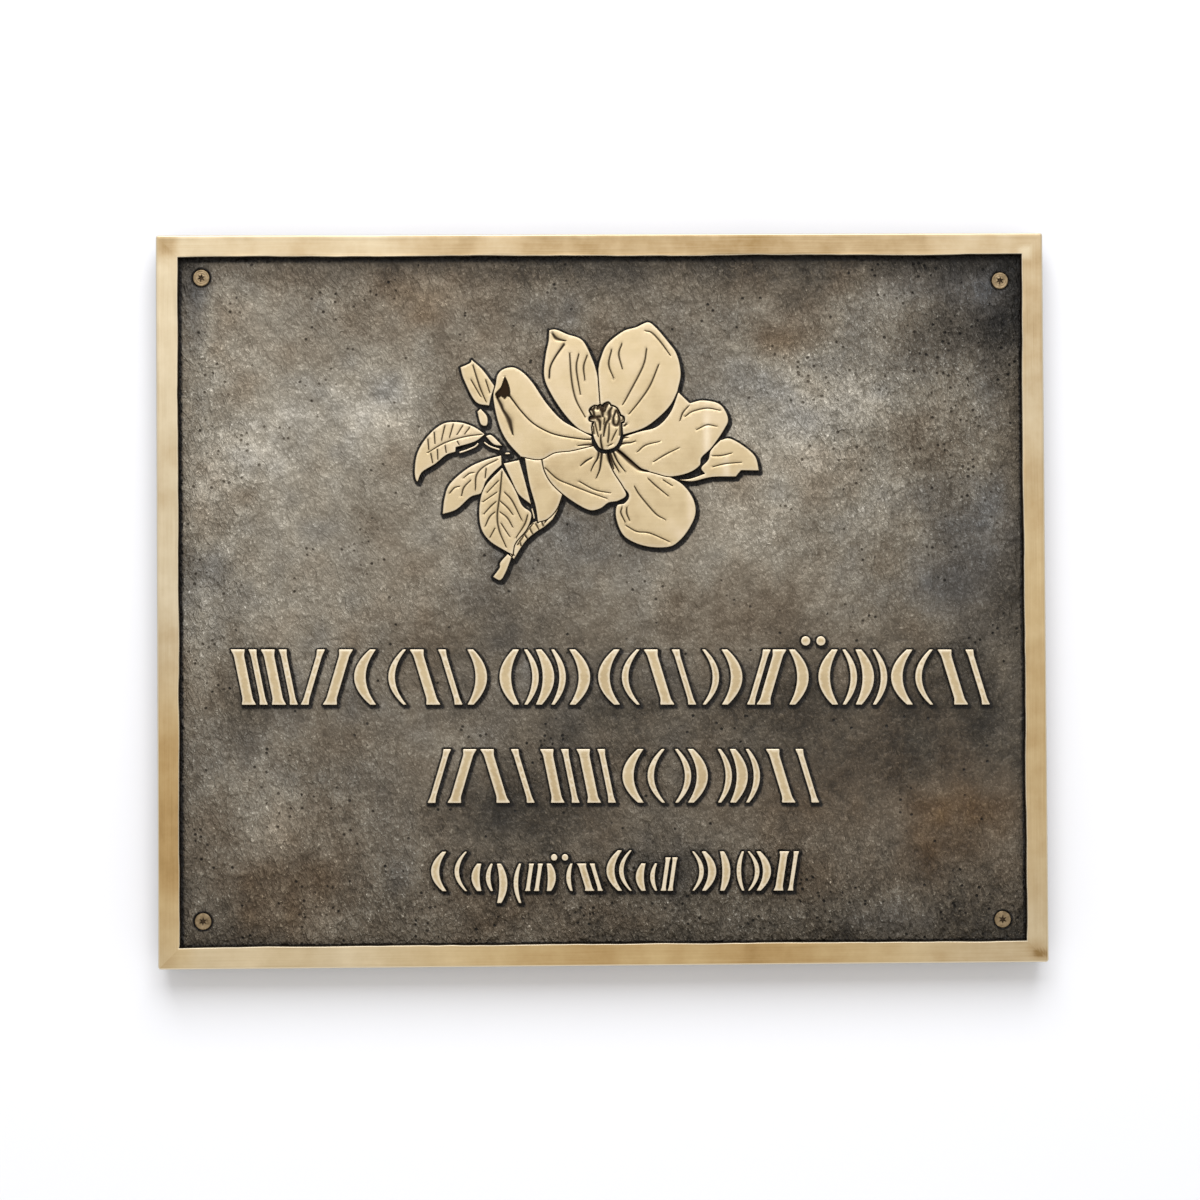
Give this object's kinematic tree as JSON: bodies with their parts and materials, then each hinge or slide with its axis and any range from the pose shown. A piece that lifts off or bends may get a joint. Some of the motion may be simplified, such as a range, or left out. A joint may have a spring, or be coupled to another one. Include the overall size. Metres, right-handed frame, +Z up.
{
  "type": "bronze address plaque",
  "caption": "Rectangular cast bronze wall plaque with a raised border, a magnolia spray and rows of plain strokes in relief, and countersunk corner screws.",
  "frame": {"origin": "centre of the flat back face, where it meets the wall", "axes": "-Y out of the front, +Y into the wall, +Z up, +X to the right as seen from the front"},
  "size_m": [0.3, 0.0275, 0.247],
  "materials": {
    "bronze": "cast bronze, sanded bright on the border and the relief, brown-grey patina on the grained field",
    "screw_bronze": "aged bronze, brushed"
  },
  "bodies": {
    "root": {"plaque": "bronze", "screw_top_left": "screw_bronze", "screw_top_right": "screw_bronze", "screw_bottom_left": "screw_bronze", "screw_bottom_right": "screw_bronze"}
  },
  "joints": []
}
